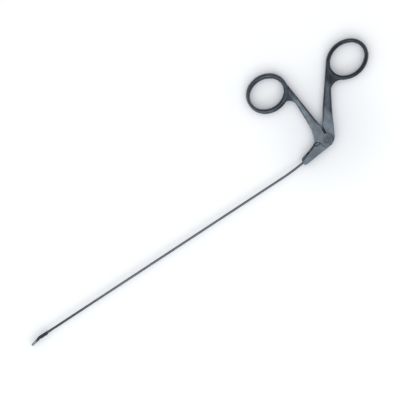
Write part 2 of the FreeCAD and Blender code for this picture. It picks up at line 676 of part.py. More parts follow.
def make_drive_pin():
    body = new_body("drive_pin")
    low = "Sizes.lap_height - " + DRIVE_PIN_REACH
    circle = new_sketch(body, "Round", "XY_Plane", ("0", PIN_Y, low))
    draw_circle(circle, "0", "0", "Sizes.drive_pin_radius")
    add_pad(body, "Pin", circle, DRIVE_PIN_REACH + " + Sizes.drive_pin_seat")
    return body


def make_slider():
    """Block on the rod's inner end: its cross slot takes the drive pin's small arc."""
    body = new_body("rod_slider")
    sketch = slider_sketch(body, "BlockOutline", SHAFT_HEIGHT)
    draw_outline(sketch, box_outline("-(Sizes.slider_long - Sizes.slider_back)", "Sizes.slider_back",
                                     "-Sizes.slider_wide / 2", "Sizes.slider_wide / 2"))
    pad = add_pad(body, "Block", sketch, "Sizes.slider_thick", midplane=True)
    upright = lambda edge: edge.BoundBox.ZLength > 0.5
    dress_edges(body, "Fillet", "Corners", pad, upright, Radius="Sizes.slider_wide / 8")
    eye = slider_sketch(body, "EyeOutline", SHAFT_HEIGHT)
    half = "Sizes.drive_pin_radius + Sizes.running_gap"
    end = "(Sizes.eye_extra + %s)" % half
    round_end = "0.9 * (%s)" % half
    draw_outline(eye, [(x + "(%s)" % half, y + end, round_end) for x, y in
                       [("-", "-"), ("", "-"), ("", ""), ("-", "")]])
    add_pocket(body, "Eye", eye, "Sizes.slider_thick + 1", midplane=True)
    socket = nose_section(body, "RodSocket", SLIDER_END)
    draw_circle(socket, "0", "0", "Sizes.rod_radius + Sizes.seat_gap")
    add_pocket(body, "Socket", socket, "Sizes.rod_socket", reverse=True)
    return body


def make_ferrule():
    body = new_body("tube_ferrule")
    section = nose_section(body, "Rings", "0")
    draw_circle(section, "0", "0", FERRULE_RADIUS)
    draw_circle(section, "0", "0", FERRULE_BORE)
    add_pad(body, "Sleeve", section, "Sizes.ferrule_long")
    return body


def make_grub_screw():
    """Headless slotted screw that bears on the ferrule through the nose's bevel."""
    body = new_body("tube_grub_screw")
    section = grub_sketch(body, "Round")
    draw_circle(section, "0", "0", "Sizes.grub_radius")
    pad = body.newObject("PartDesign::Pad", "Shank")
    pad.Profile = (section, [""])
    pad.Reversed = True
    pad.Length = value("Sizes.grub_long")
    pad.setExpression("Length", "Sizes.grub_long")
    doc.recompute()
    slot = grub_sketch(body, "Slot", "Sizes.grub_long - Sizes.grub_slot_deep")
    half = "Sizes.grub_slot_wide / 2"
    draw_outline(slot, box_outline("-" + half, half, "-Sizes.grub_radius - 0.25", "Sizes.grub_radius + 0.25"))
    add_pocket(body, "ScrewSlot", slot, "2 * Sizes.grub_slot_deep")
    return body


def make_shaft_tube():
    body = new_body("shaft_tube")
    shaft_pipe(body, "Sizes.ferrule_long", "Sizes.box_start_x - Sizes.tube_insert",
               ["Sizes.tube_radius", "Sizes.tube_radius - Sizes.tube_wall"])
    return body


def make_drive_rod():
    body = new_body("drive_rod")
    shaft_pipe(body, SLIDER_END + " + Sizes.rod_socket",
               "Sizes.tongue_start_x - Sizes.tongue_socket_long + 0.2", ["Sizes.rod_radius"])
    return body


def along_jaw(distance, offset):
    """Point from the root of the closed jaws' parting line: distance out, offset to +Y."""
    turn = "(Sizes.jaw_bend * 1 deg)"
    return ("Sizes.box_end_x - (%s) * cos(%s) - (%s) * sin(%s)" % (distance, turn, offset, turn),
            "Sizes.jaw_root_y - (%s) * sin(%s) + (%s) * cos(%s)" % (distance, turn, offset, turn))


def from_jaw_pivot(x_formula, y_formula):
    return ("Sizes.jaw_pivot_x + (%s)" % x_formula, "Sizes.jaw_pivot_y + (%s)" % y_formula)


def cut_teeth(body, upper):
    """Row of notches across a jaw's biting face, repeated along the parting line."""
    root = along_jaw("0.9", "0")
    notch = new_sketch(body, "ToothNotch", "XY_Plane", (root[0], root[1], SHAFT_HEIGHT),
                       Vector(0, 0, 1), "180 + Sizes.jaw_bend")
    middle, end = "Sizes.tooth_pitch * 0.45", "Sizes.tooth_pitch * 0.9"
    if upper:
        points = [("0", "0.2"), (middle, "-Sizes.tooth_deep"), (end, "0.2")]
    else:
        points = [("0", "-0.2"), (end, "-0.2"), (middle, "Sizes.tooth_deep")]
    draw_outline(notch, points)
    cut = add_pocket(body, "FirstNotch", notch, "Sizes.jaw_wide + 1", midplane=True)
    row = body.newObject("PartDesign::LinearPattern", "ToothRow")
    row.Originals = [cut]
    row.Direction = (notch, ["H_Axis"])
    row.Length = value("Sizes.tooth_pitch") * (TOOTH_COUNT - 1)
    row.setExpression("Length", "Sizes.tooth_pitch * %d" % (TOOTH_COUNT - 1))
    row.Occurrences = TOOTH_COUNT
    body.Tip = row
    doc.recompute()


def mid_sketch(body, name):
    return new_sketch(body, name, "XY_Plane", ("0", "0", SHAFT_HEIGHT))


def make_fixed_jaw():
    """Jaw box and the jaw that stays still, in one piece on the tube's end."""
    body = new_body("fixed_jaw")
    half = "Sizes.box_high / 2"
    gap = "Sizes.jaw_gap / 2"
    box = mid_sketch(body, "BoxOutline")
    low_y, high_y = "%s - %s" % (BOX_Y, half), "%s + %s" % (BOX_Y, half)
    relief_x = "Sizes.jaw_pivot_x + 0.12"
    draw_outline(box, [
        (relief_x, low_y), ("Sizes.box_start_x", low_y, "0.5"), ("Sizes.box_start_x", high_y, "0.5"),
        ("Sizes.box_end_x + 0.9", high_y, "1.5"), along_jaw("1.4", "1.02"), along_jaw("1.4", gap),
        along_jaw("-0.2", gap),
        from_jaw_pivot("-1.15", "-0.885"), from_jaw_pivot("0.12", "-Sizes.jaw_relief_radius")],
        {7: "Sizes.jaw_relief_radius"})
    pad = add_pad(body, "Box", box, "Sizes.box_thick", midplane=True)
    long_edges = lambda edge: (edge.BoundBox.ZLength < 1e-4 and edge.Length > 4)
    dress_edges(body, "Chamfer", "BoxBevel", pad, long_edges, Size="Sizes.jaw_bevel")
    blade = mid_sketch(body, "BladeOutline")
    draw_outline(blade, [along_jaw("0.6", gap), along_jaw("0.6", "Sizes.jaw_half"),
                         along_jaw("Sizes.jaw_long", "Sizes.jaw_half - 0.1") + ("0.7",),
                         along_jaw("Sizes.jaw_long", gap)][::-1])
    add_pad(body, "Blade", blade, "Sizes.jaw_wide", midplane=True)
    cut_teeth(body, upper=True)

    socket = shaft_section(body, "TubeSocket", "Sizes.box_start_x + 1")
    draw_circle(socket, "0", "0", FERRULE_BORE)
    add_pocket(body, "TubeBore", socket, "Sizes.tube_insert + 1")
    bore = shaft_section(body, "RodRoom", "Sizes.box_start_x")
    draw_circle(bore, "0", "0", "Sizes.box_bore_radius")
    add_pocket(body, "RodBore", bore, "Sizes.box_bore_long")
    slot = mid_sketch(body, "CheekSlot")
    draw_outline(slot, box_outline("Sizes.box_end_x - 1.0", "Sizes.box_start_x - Sizes.box_bore_long + 1.2",
                                   "Sizes.shaft_y - 3", "Sizes.shaft_y + 3"))
    add_pocket(body, "Slot", slot, "Sizes.box_slot", midplane=True)
    hole = mid_sketch(body, "PivotHole")
    draw_circle(hole, "Sizes.jaw_pivot_x", "Sizes.jaw_pivot_y", "Sizes.jaw_pin_radius + Sizes.seat_gap")
    add_pocket(body, "PivotBore", hole, "Sizes.box_thick + 1", midplane=True)
    return body


def make_moving_jaw():
    """Jaw that swings on the jaw pin; the rod's pin works in the slot of its tail."""
    body = new_body("moving_jaw")
    gap = "-Sizes.jaw_gap / 2"
    blade = mid_sketch(body, "BladeOutline")
    tip = along_jaw("Sizes.jaw_long", "-(Sizes.jaw_half - 0.1)")
    draw_outline(blade, [
        along_jaw("0.05", gap), along_jaw("Sizes.jaw_long", gap), (tip[0], tip[1], "0.7"),
        ("Sizes.box_end_x - 0.05", "Sizes.jaw_root_y - 1.12")])
    pad = add_pad(body, "Blade", blade, "Sizes.jaw_wide", midplane=True)
    cut_teeth(body, upper=False)
    tail = new_sketch(body, "TailOutline", "XY_Plane", ("0", "0", TAIL_HEIGHT))
    draw_outline(tail, [
        from_jaw_pivot("0.66", "0.42") + ("0.3",), from_jaw_pivot("-0.6", "0.42"),
        along_jaw("0.95", "-0.1"), along_jaw("0.95", "-0.8"),
        from_jaw_pivot("-0.9", "-1.72"), from_jaw_pivot("0.2", "-1.72"), from_jaw_pivot("0.66", "-0.6")])
    add_pad(body, "Tail", tail, "Sizes.jaw_tail_thick", midplane=True)
    hole = mid_sketch(body, "PivotHole")
    draw_circle(hole, "Sizes.jaw_pivot_x", "Sizes.jaw_pivot_y", "Sizes.jaw_pin_radius + Sizes.running_gap")
    add_pocket(body, "PivotBore", hole, "Sizes.box_thick + 1", midplane=True)
    slot = new_sketch(body, "CrankSlot", "XY_Plane", from_jaw_pivot("0", "0") + (SHAFT_HEIGHT,),
                      Vector(0, 0, 1), CRANK_TURN)
    wide = "Sizes.jaw_pin_radius + Sizes.jaw_play"
    near = "Sizes.jaw_crank - Sizes.jaw_play"
    far = "sqrt(Sizes.jaw_crank ^ 2 + Sizes.jaw_crank_lead ^ 2) + Sizes.jaw_play"
    draw_outline(slot, [(near, "-(%s)" % wide), (far, "-(%s)" % wide), (far, wide), (near, wide)],
                 {1: "1.02 * (%s)" % wide, 3: "1.02 * (%s)" % wide})
    add_pocket(body, "CrankSlotCut", slot, "Sizes.box_thick + 1", midplane=True)
    return body


def make_rod_tongue():
    """Socket on the rod's outer end with a flat blade that carries the jaw's drive pin."""
    body = new_body("rod_tongue")
    section = shaft_section(body, "SocketRound", "Sizes.tongue_start_x")
    draw_circle(section, "0", "0", "Sizes.tongue_socket_radius")
    pad = body.newObject("PartDesign::Pad", "Socket")
    pad.Profile = (section, [""])
    pad.Reversed = True
    pad.Length = value("Sizes.tongue_socket_long")
    pad.setExpression("Length", "Sizes.tongue_socket_long")
    doc.recompute()
    end_x = "Sizes.tongue_start_x - Sizes.tongue_socket_long"
    blade = new_sketch(body, "BladeOutline", "XY_Plane", ("0", "0", BLADE_HEIGHT))
    pin_x, pin_y = DRIVEN_PIN
    draw_outline(blade, [
        (end_x + " + 0.3", "Sizes.shaft_y - 0.45"), (end_x + " + 0.3", "Sizes.shaft_y + 0.45"),
        (pin_x + " + 0.9", "Sizes.shaft_y"), (pin_x + " - 0.5", pin_y + " + 0.5", "0.3"),
        (pin_x + " - 0.5", pin_y + " - 0.5", "0.3"), (pin_x + " + 0.7", pin_y + " - 0.5")][::-1])
    add_pad(body, "Blade", blade, "Sizes.tongue_thick", midplane=True)
    socket = shaft_section(body, "RodSocket", "Sizes.tongue_start_x")
    draw_circle(socket, "0", "0", "Sizes.rod_radius + Sizes.seat_gap")
    add_pocket(body, "RodBore", socket, "Sizes.tongue_socket_long - 0.2")
    hole = mid_sketch(body, "PinHole")
    draw_circle(hole, pin_x, pin_y, "Sizes.jaw_pin_radius + Sizes.seat_gap")
    add_pocket(body, "PinBore", hole, "Sizes.box_thick", midplane=True)
    return body


def make_pin(label, place, length):
    body = new_body(label)
    circle = new_sketch(body, "Round", "XY_Plane", ("0", "0", SHAFT_HEIGHT))
    draw_circle(circle, place[0], place[1], "Sizes.jaw_pin_radius")
    add_pad(body, "Pin", circle, length, midplane=True)
    return body


def make_tip_collar():
    body = new_body("tip_collar")
    section = shaft_section(body, "Rings", "Sizes.box_start_x")
    draw_circle(section, "0", "0", COLLAR_RADIUS)
    draw_circle(section, "0", "0", FERRULE_BORE)
    pad = add_pad(body, "Collar", section, "Sizes.collar_long")
    outer_end = lambda edge: (edge.BoundBox.XLength < 1e-4
                              and edge.BoundBox.YLength > 2 * value(FERRULE_BORE) + 0.01
                              and edge.BoundBox.XMin > value("Sizes.box_start_x") + 0.1)
    dress_edges(body, "Chamfer", "CollarBevel", pad, outer_end, Size="Sizes.collar_wall * 0.8")
    return body


PARTS = [
    make_rear_handle(),
    make_front_handle(),
    make_pivot_screw(),
    make_drive_pin(),
    make_slider(),
    make_ferrule(),
    make_grub_screw(),
    make_shaft_tube(),
    make_drive_rod(),
    make_tip_collar(),
    make_fixed_jaw(),
    make_moving_jaw(),
    make_pin("jaw_pivot_pin", ("Sizes.jaw_pivot_x", "Sizes.jaw_pivot_y"), "Sizes.box_thick"),
    make_rod_tongue(),
    make_pin("jaw_drive_pin", DRIVEN_PIN, "Sizes.box_slot - 0.08"),
]
doc.recompute()

for item in doc.Objects:
    if "Invalid" in item.State or "Error" in item.State:
        raise RuntimeError("%s failed: %s" % (item.Label, item.State))
for part in PARTS:
    if part.Shape.isNull() or not part.Shape.isValid() or len(part.Shape.Solids) != 1:
        raise RuntimeError("%s has no single valid solid" % part.Label)

os.makedirs("parts", exist_ok=True)
for part in PARTS:
    part.Shape.exportStep("parts/%s.step" % part.Label)
    print("%-16s %9.2f mm3" % (part.Label, part.Shape.Volume))
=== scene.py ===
import logging
import math
from dataclasses import dataclass, field
from enum import Enum
from typing import ClassVar

import bpy
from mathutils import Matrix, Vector


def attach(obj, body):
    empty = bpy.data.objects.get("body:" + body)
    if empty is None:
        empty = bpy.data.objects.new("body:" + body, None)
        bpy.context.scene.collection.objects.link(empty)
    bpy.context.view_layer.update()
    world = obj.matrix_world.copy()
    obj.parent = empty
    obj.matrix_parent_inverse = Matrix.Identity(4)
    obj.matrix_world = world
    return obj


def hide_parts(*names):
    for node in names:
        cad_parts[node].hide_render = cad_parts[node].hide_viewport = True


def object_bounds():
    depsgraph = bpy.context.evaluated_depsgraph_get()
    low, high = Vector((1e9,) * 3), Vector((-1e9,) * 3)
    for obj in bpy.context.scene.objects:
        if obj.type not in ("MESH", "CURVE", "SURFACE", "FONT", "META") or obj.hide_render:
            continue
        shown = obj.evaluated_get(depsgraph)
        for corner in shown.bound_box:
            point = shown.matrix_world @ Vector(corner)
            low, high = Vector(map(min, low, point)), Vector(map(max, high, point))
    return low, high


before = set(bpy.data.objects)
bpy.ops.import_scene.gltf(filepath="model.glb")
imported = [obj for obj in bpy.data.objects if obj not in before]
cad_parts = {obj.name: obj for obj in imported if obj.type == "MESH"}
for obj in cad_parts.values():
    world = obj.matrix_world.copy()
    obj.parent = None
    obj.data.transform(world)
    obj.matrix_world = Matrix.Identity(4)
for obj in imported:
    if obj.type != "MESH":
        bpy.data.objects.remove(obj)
CAD_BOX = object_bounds()

MM = 0.001
# Height of the middle of the plate that both handles are forged in, and half its thickness, in millimetres.
PLATE_MID = (CAD_BOX[0][2] + CAD_BOX[1][2]) / 2.0 / MM
UP = (0.0, 0.0, 1.0)
BLACK = (0.0, 0.0, 0.0)
LOG = logging.getLogger("forceps")

Color = tuple[float, float, float]
Vector3 = tuple[float, float, float]
Spot = tuple[float, float]
Ramp = tuple[float, float]


def share_of(value: float, span: float) -> float:
    """Share of a span, held between 0 and 1."""
    return min(1.0, max(0.0, value / span))


class Slot(str, Enum):
    """The record's material slots."""

    HANDLE = "handle_steel"
    SCREW = "screw_steel"
    TUBE = "tube_steel"
    JAW = "jaw_steel"
    BRIGHT = "bright_steel"


@dataclass(frozen=True)
class Marks:
    """Noise that stands for a tool's marks: stretch on each axis, scale, octaves and their weight."""

    stretch: Vector3
    scale: float
    detail: float
    rough: float


class Grain(Enum):
    """How a piece's surface was last worked."""

    BEAD_BLASTED = Marks((1.0, 1.0, 1.0), 4.5, 4.0, 0.65)
    DRAWN = Marks((0.05, 1.0, 1.0), 9.0, 2.0, 0.55)
    TURNED = Marks((1.0, 1.0, 0.1), 6.0, 4.0, 0.7)


class Field:
    """A socket of a node tree; arithmetic on it adds Math nodes."""

    def __init__(self, graph: "Graph", socket: bpy.types.NodeSocket) -> None:
        """Remember the tree and the socket.

        Args:
            graph: The tree that new nodes go into.
            socket: The output that this value comes from.
        """
        self.graph = graph
        self.socket = socket

    def _math(self, operation: str, *others: "Field | float", swap: bool = False) -> "Field":
        """Add one Math node.

        Args:
            operation: The node's operation.
            others: The remaining operands.
            swap: Put this value second instead of first.

        Returns:
            The node's result.
        """
        operands = [self, *others]
        if swap:
            operands.reverse()
        settings = {"operation": operation}
        return self.graph.add("ShaderNodeMath", settings, dict(enumerate(operands)))

    def __add__(self, other: "Field | float") -> "Field":
        """Sum."""
        return self._math("ADD", other)

    __radd__ = __add__

    def __sub__(self, other: "Field | float") -> "Field":
        """Difference."""
        return self._math("SUBTRACT", other)

    def __rsub__(self, other: "Field | float") -> "Field":
        """Difference from a number."""
        return self._math("SUBTRACT", other, swap=True)

    def __mul__(self, other: "Field | float") -> "Field":
        """Product."""
        return self._math("MULTIPLY", other)

    __rmul__ = __mul__

    def __pow__(self, other: "Field | float") -> "Field":
        """Power."""
        return self._math("POWER", other)

    def __abs__(self) -> "Field":
        """The value without its sign."""
        return self._math("ABSOLUTE")

    def at_least(self, other: "Field | float") -> "Field":
        """The larger of two values."""
        return self._math("MAXIMUM", other)

    def at_most(self, other: "Field | float") -> "Field":
        """The smaller of two values."""
        return self._math("MINIMUM", other)

    def unit(self) -> "Field":
        """The value held between 0 and 1."""
        return self.at_least(0.0).at_most(1.0)

    def varied(self, gain: float, base: float) -> "Field":
        """The value times a gain, plus a base."""
        return self * gain + base

    def ramp(self, low: float, high: float) -> "Field":
        """Smooth step from 0 at low to 1 at high.

        Args:
            low: Value that gives 0.
            high: Value that gives 1.

        Returns:
            The eased value.
        """
        settings = {"interpolation_type": "SMOOTHSTEP"}
        return self.graph.add("ShaderNodeMapRange", settings, {
            "Value": self, "From Min": low, "From Max": high, "To Min": 0.0, "To Max": 1.0})


class Graph:
    """One node tree and the few ways in which nodes are added to it."""

    # Colour sockets of the Mix node, by number, because several sockets share a name.
    MIX_FACTOR: ClassVar[int] = 0
    MIX_FIRST: ClassVar[int] = 6
    MIX_SECOND: ClassVar[int] = 7
    MIX_RESULT: ClassVar[int] = 2

    def __init__(self, tree: bpy.types.NodeTree) -> None:
        """Start from an empty tree.

        Args:
            tree: The material's or world's tree.
        """
        self.tree = tree
        tree.nodes.clear()

    def add(self, kind: str, settings: dict | None = None, inputs: dict | None = None,
            output: int | str = 0) -> Field | None:
        """Add a node, set it up and link it.

        Args:
            kind: The node's type.
            settings: Its properties, set before its inputs.
            inputs: Values or Fields, by socket name or number.
            output: Which output the result reads.

        Returns:
            The chosen output, or None for a node that has none.
        """
        node = self.tree.nodes.new(kind)
        for name, value in (settings or {}).items():
            setattr(node, name, value)
        for name, value in (inputs or {}).items():
            if isinstance(value, Field):
                self.tree.links.new(value.socket, node.inputs[name])
            else:
                node.inputs[name].default_value = value
        return Field(self, node.outputs[output]) if node.outputs else None

    def blend(self, factor: Field | float, first: Field | Color, second: Field | Color) -> Field:
        """Mix two colours.

        Args:
            factor: Share of the second.
            first: Colour at factor 0.
            second: Colour at factor 1.

        Returns:
            The mixed colour.
        """
        first, second = (c if isinstance(c, Field) else (*c, 1.0) for c in (first, second))
        inputs = {self.MIX_FACTOR: factor, self.MIX_FIRST: first, self.MIX_SECOND: second}
        return self.add("ShaderNodeMix", {"data_type": "RGBA"}, inputs, self.MIX_RESULT)

    def vector(self, operation: str, first: Field | Vector3, second: Field | Vector3) -> Field:
        """Vector Math on two vectors.

        Args:
            operation: The node's operation.
            first: Left operand.
            second: Right operand.

        Returns:
            The resulting vector, or the number for a dot product or a distance.
        """
        output = "Value" if operation in {"DOT_PRODUCT", "DISTANCE"} else "Vector"
        settings = {"operation": operation}
        return self.add("ShaderNodeVectorMath", settings, {0: first, 1: second}, output)

    def place_mm(self, stretch: Vector3 = (1.0, 1.0, 1.0)) -> Field:
        """Place on the piece in millimetres, stretched per axis.

        Args:
            stretch: Factor on each axis.

        Returns:
            The coordinate.
        """
        place = self.add("ShaderNodeTexCoord", output="Object")
        return self.vector("MULTIPLY", place, tuple(s / MM for s in stretch))

    def noise(self, place: Field, scale: float, detail: float, rough: float = 0.55) -> Field:
        """Noise between about 0 and 1.

        Args:
            place: Coordinate that it is read at.
            scale: Features per unit.
            detail: Octaves.
            rough: Weight of the finer octaves.

        Returns:
            The noise value.
        """
        return self.add("ShaderNodeTexNoise", None, {
            "Vector": place, "Scale": scale, "Detail": detail, "Roughness": rough})


@dataclass(frozen=True)
class Patch:
    """Round patch in plan, in millimetres: full within inner, gone past outer."""

    x: float
    y: float
    inner: float
    outer: float
    depth: float

    def mask(self, graph: Graph, place: Field) -> Field:
        """Strength of the patch at a place.

        Args:
            graph: The material's tree.
            place: Place on the piece in millimetres.

        Returns:
            The strength, 0 to depth.
        """
        flat = graph.vector("MULTIPLY", place, (1.0, 1.0, 0.0))
        away = graph.vector("DISTANCE", flat, (self.x, self.y, 0.0))
        return (1.0 - away.ramp(self.inner, self.outer)) * self.depth

    def outside(self, graph: Graph, place: Field) -> Field:
        """What the patch leaves at a place, from 1 down to 1 less depth."""
        return 1.0 - self.mask(graph, place)


@dataclass(frozen=True)
class SteelFinish:
    """Satin instrument steel: tint, mottling, darker patches, painted shade on hollows, flanks and
    crevices, worn edges, grime and marks.

    Lengths are in millimetres. Depths, wear, grime with its painted crevice shade, and polish are shares of
    the full effect. The dark patch and shade tint is the colour of the darker patches, of which some are
    painted shade, and of the painted shade on hollows and flanks.
    """

    name: str
    tint: Color
    dark_tint: Color
    worn_tint: Color
    roughness: float
    grain: Grain
    grain_depth: float = 0.4
    mottle_size: float = 3.0
    mottle_depth: float = 0.5
    edge_radius: float = 0.35
    wear: float = 0.5
    grime_and_shade: float = 0.6
    crevice_reach: float = 1.6
    dark_patch_and_shade_tint: Color = (0.030, 0.036, 0.044)
    flank_shade_depth: float = 0.0
    hollow_shade_depth: float = 0.0
    hollow_shade_spared: Patch | None = None
    grime_and_shade_spared: Patch | None = None
    shade_and_dark_patches: tuple[Patch, ...] = ()
    patch_polish: float = 0.0

    BROAD_SCALE: ClassVar[float] = 0.45
    BROAD_OCTAVES: ClassVar[float] = 2.0
    BROAD_CONTRAST: ClassVar[float] = 2.6
    FINE_SCALE: ClassVar[float] = 3.0
    FINE_OCTAVES: ClassVar[float] = 5.0
    FINE_WEIGHT: ClassVar[float] = 0.7
    FINE_CONTRAST: ClassVar[float] = 1.2
    HOLLOW_SHADE_RAMP: ClassVar[Ramp] = (2.15, 2.75)
    FLANK_SHADE_RAMP: ClassVar[Ramp] = (0.15, 0.60)
    FLANK_SHADE_VARIED: ClassVar[tuple[float, float]] = (0.3, 0.85)
    EDGE_RAMP: ClassVar[Ramp] = (0.01, 0.16)
    EDGE_SAMPLES: ClassVar[int] = 6
    EDGE_BROKEN: ClassVar[float] = 0.25
    CREVICE_SHADE_RAMP: ClassVar[Ramp] = (0.15, 0.75)
    CREVICE_SHADE_SAMPLES: ClassVar[int] = 8
    CREVICE_SHADE_VARIED: ClassVar[tuple[float, float]] = (0.5, 0.7)
    CREVICE_SHADE_TONE: ClassVar[float] = 0.25
    ROUGHNESS_LIMITS: ClassVar[tuple[float, float]] = (0.08, 0.9)
    ROUGHER_BY_FINE: ClassVar[float] = 0.16
    ROUGHER_BY_GRAIN: ClassVar[float] = 0.12
    ROUGHER_IN_CREVICES: ClassVar[float] = 0.25
    SMOOTHER_BY_WEAR: ClassVar[float] = 0.10
    MARK_HEIGHT: ClassVar[float] = 0.02

    def build(self) -> bpy.types.Material:
        """Make the material.

        Returns:
            The material.
        """
        material = bpy.data.materials.new(self.name)
        material.use_nodes = True
        graph = Graph(material.node_tree)
        place = graph.place_mm()
        broad = graph.noise(place, self.BROAD_SCALE / self.mottle_size, self.BROAD_OCTAVES)
        fine = graph.noise(place, self.FINE_SCALE / self.mottle_size, self.FINE_OCTAVES, self.FINE_WEIGHT)
        marks = self.grain.value
        grain = graph.noise(graph.place_mm(marks.stretch), marks.scale, marks.detail, marks.rough)

        mottle = ((broad - 0.5) * self.BROAD_CONTRAST + (fine - 0.5) * self.FINE_CONTRAST + 0.5).unit()
        color = graph.blend(mottle * self.mottle_depth, self.tint, self.dark_tint)
        # Darker patches: painted shade on the rings, the far thumb arm and the toe's gap; a darker tone
        # elsewhere.
        color, polish = self._age(graph, place, color)
        # Painted shade on hollows and on steep flanks.
        color = self._shade_hollows_and_flanks(graph, place, color, fine)
        worn = self._wear(graph, fine)
        color = graph.blend(worn, color, self.worn_tint)
        # Painted shade in corners and grooves, which also raises the roughness there.
        crevice_shade_share = self._crevice_grime_and_shade(graph, place, broad)
        color = graph.blend(crevice_shade_share.unit(), color, tuple(self.CREVICE_SHADE_TONE * c for c in self.dark_tint))

        low, high = self.ROUGHNESS_LIMITS
        roughness = (self.roughness + (fine - 0.5) * self.ROUGHER_BY_FINE
                     + (grain - 0.5) * self.ROUGHER_BY_GRAIN + crevice_shade_share * self.ROUGHER_IN_CREVICES
                     - worn * self.SMOOTHER_BY_WEAR - polish).at_least(low).at_most(high)
        bump = graph.add("ShaderNodeBump", None, {
            "Strength": self.grain_depth, "Distance": self.MARK_HEIGHT * MM, "Height": grain})
        shader = graph.add("ShaderNodeBsdfPrincipled", None, {
            "Base Color": color, "Metallic": 1.0, "Roughness": roughness, "Normal": bump})
        graph.add("ShaderNodeOutputMaterial", None, {"Surface": shader})
        return material

    def _age(self, graph: Graph, place: Field, color: Field) -> tuple[Field, Field | float]:
        """Darken the patches: painted shade on some, a darker tone on others.

        Args:
            graph: The material's tree.
            place: Place on the piece in millimetres.
            color: The steel's colour.

        Returns:
            The colour with its patches, and how much smoother the patches are.
        """
        polish = 0.0
        for patch in self.shade_and_dark_patches:
            mask = patch.mask(graph, place)
            polish = mask * self.patch_polish + polish
            color = graph.blend(mask, color, self.dark_patch_and_shade_tint)
        return color, polish

    def _shade_hollows_and_flanks(self, graph: Graph, place: Field, color: Field, fine: Field) -> Field:
        """Paint shade on what lies deep between the plate's faces, and on what stands on edge.

        Args:
            graph: The material's tree.
            place: Place on the piece in millimetres.
            color: The colour with its darker patches.
            fine: The fine mottling.

        Returns:
            The colour with its painted shade.
        """
        # Painted shade on surfaces sunk below the plate's faces.
        if self.hollow_shade_depth:
            level = graph.vector("DOT_PRODUCT", place, UP) - PLATE_MID
            hollow_shade = 1.0 - abs(level).ramp(*self.HOLLOW_SHADE_RAMP)
            if self.hollow_shade_spared:
                hollow_shade = hollow_shade * self.hollow_shade_spared.outside(graph, place)
            color = graph.blend(hollow_shade * self.hollow_shade_depth, color, self.dark_patch_and_shade_tint)
        # Painted shade on steep flanks, standing for the dark surroundings that they reflect.
        if self.flank_shade_depth:
            normal = graph.add("ShaderNodeTexCoord", output="Normal")
            flat = abs(graph.vector("DOT_PRODUCT", normal, UP)).ramp(*self.FLANK_SHADE_RAMP)
            flank_shade = (1.0 - flat) * self.flank_shade_depth * fine.varied(*self.FLANK_SHADE_VARIED)
            color = graph.blend(flank_shade.unit(), color, self.dark_patch_and_shade_tint)
        return color

    def _wear(self, graph: Graph, fine: Field) -> Field:
        """Share of bare, rubbed steel along the edges.

        Args:
            graph: The material's tree.
            fine: The fine mottling, which breaks the edges up.

        Returns:
            The share.
        """
        normal = graph.add("ShaderNodeNewGeometry", output="Normal")
        rounded = graph.add("ShaderNodeBevel", {"samples": self.EDGE_SAMPLES},
                            {"Radius": self.edge_radius * MM})
        edge = (1.0 - graph.vector("DOT_PRODUCT", normal, rounded)).ramp(*self.EDGE_RAMP)
        return (edge * (fine + self.EDGE_BROKEN)).unit() * self.wear

    def _crevice_grime_and_shade(self, graph: Graph, place: Field, broad: Field) -> Field:
        """Share of painted shade in corners and grooves, which also roughens them as grime would.

        Args:
            graph: The material's tree.
            place: Place on the piece in millimetres.
            broad: The broad mottling.

        Returns:
            The share.
        """
        # Painted shade wherever ambient occlusion finds the surface enclosed.
        open_sky = graph.add("ShaderNodeAmbientOcclusion", {"samples": self.CREVICE_SHADE_SAMPLES},
                             {"Distance": self.crevice_reach * MM}, "AO")
        crevice_shade_share = (1.0 - open_sky).ramp(*self.CREVICE_SHADE_RAMP) * self.grime_and_shade * broad.varied(*self.CREVICE_SHADE_VARIED)
        if self.grime_and_shade_spared:
            crevice_shade_share = crevice_shade_share * self.grime_and_shade_spared.outside(graph, place)
        return crevice_shade_share


# Darker patches of the steel, and where painted shade is left off. The boss, the nose, the tube's end, the
# jaw box and the collar are a darker tone.
DARKER_BOSS = Patch(2.0, -0.8, 2.5, 7.0, 0.44)
# Painted shade in the gap at the toe.
TOE_GAP_SHADE = Patch(-7.5, 2.5, 0.4, 1.0, 0.80)
DARKER_NOSE = Patch(-15.0, -3.0, 3.0, 9.0, 0.14)
# Painted shade on the far thumb arm and on both rings.
THUMB_ARM_SHADE = Patch(60.0, 30.0, 47.0, 50.5, 0.50)
FINGER_RING_SHADE = Patch(-18.7, 54.4, 18.0, 25.0, 0.64)
THUMB_RING_SHADE = Patch(47.1, 43.0, 20.5, 27.0, 0.62)
DARKER_TUBE_END = Patch(-262.0, -5.0, 8.0, 80.0, 0.60)
DARKER_JAW_BOX = Patch(-261.0, -5.2, 6.5, 10.0, 0.92)
DARKER_COLLAR = Patch(-260.0, -5.2, 8.0, 14.0, 0.85)
# Where painted shade is left off: the hollows' shade on the ledge, the crevices' shade on the boss.
LEDGE_SPARED_SHADE = Patch(-6.0, 2.4, 2.0, 4.0, 0.70)
BOSS_SPARED_SHADE = Patch(-5.2, -0.8, 3.2, 6.0, 0.72)

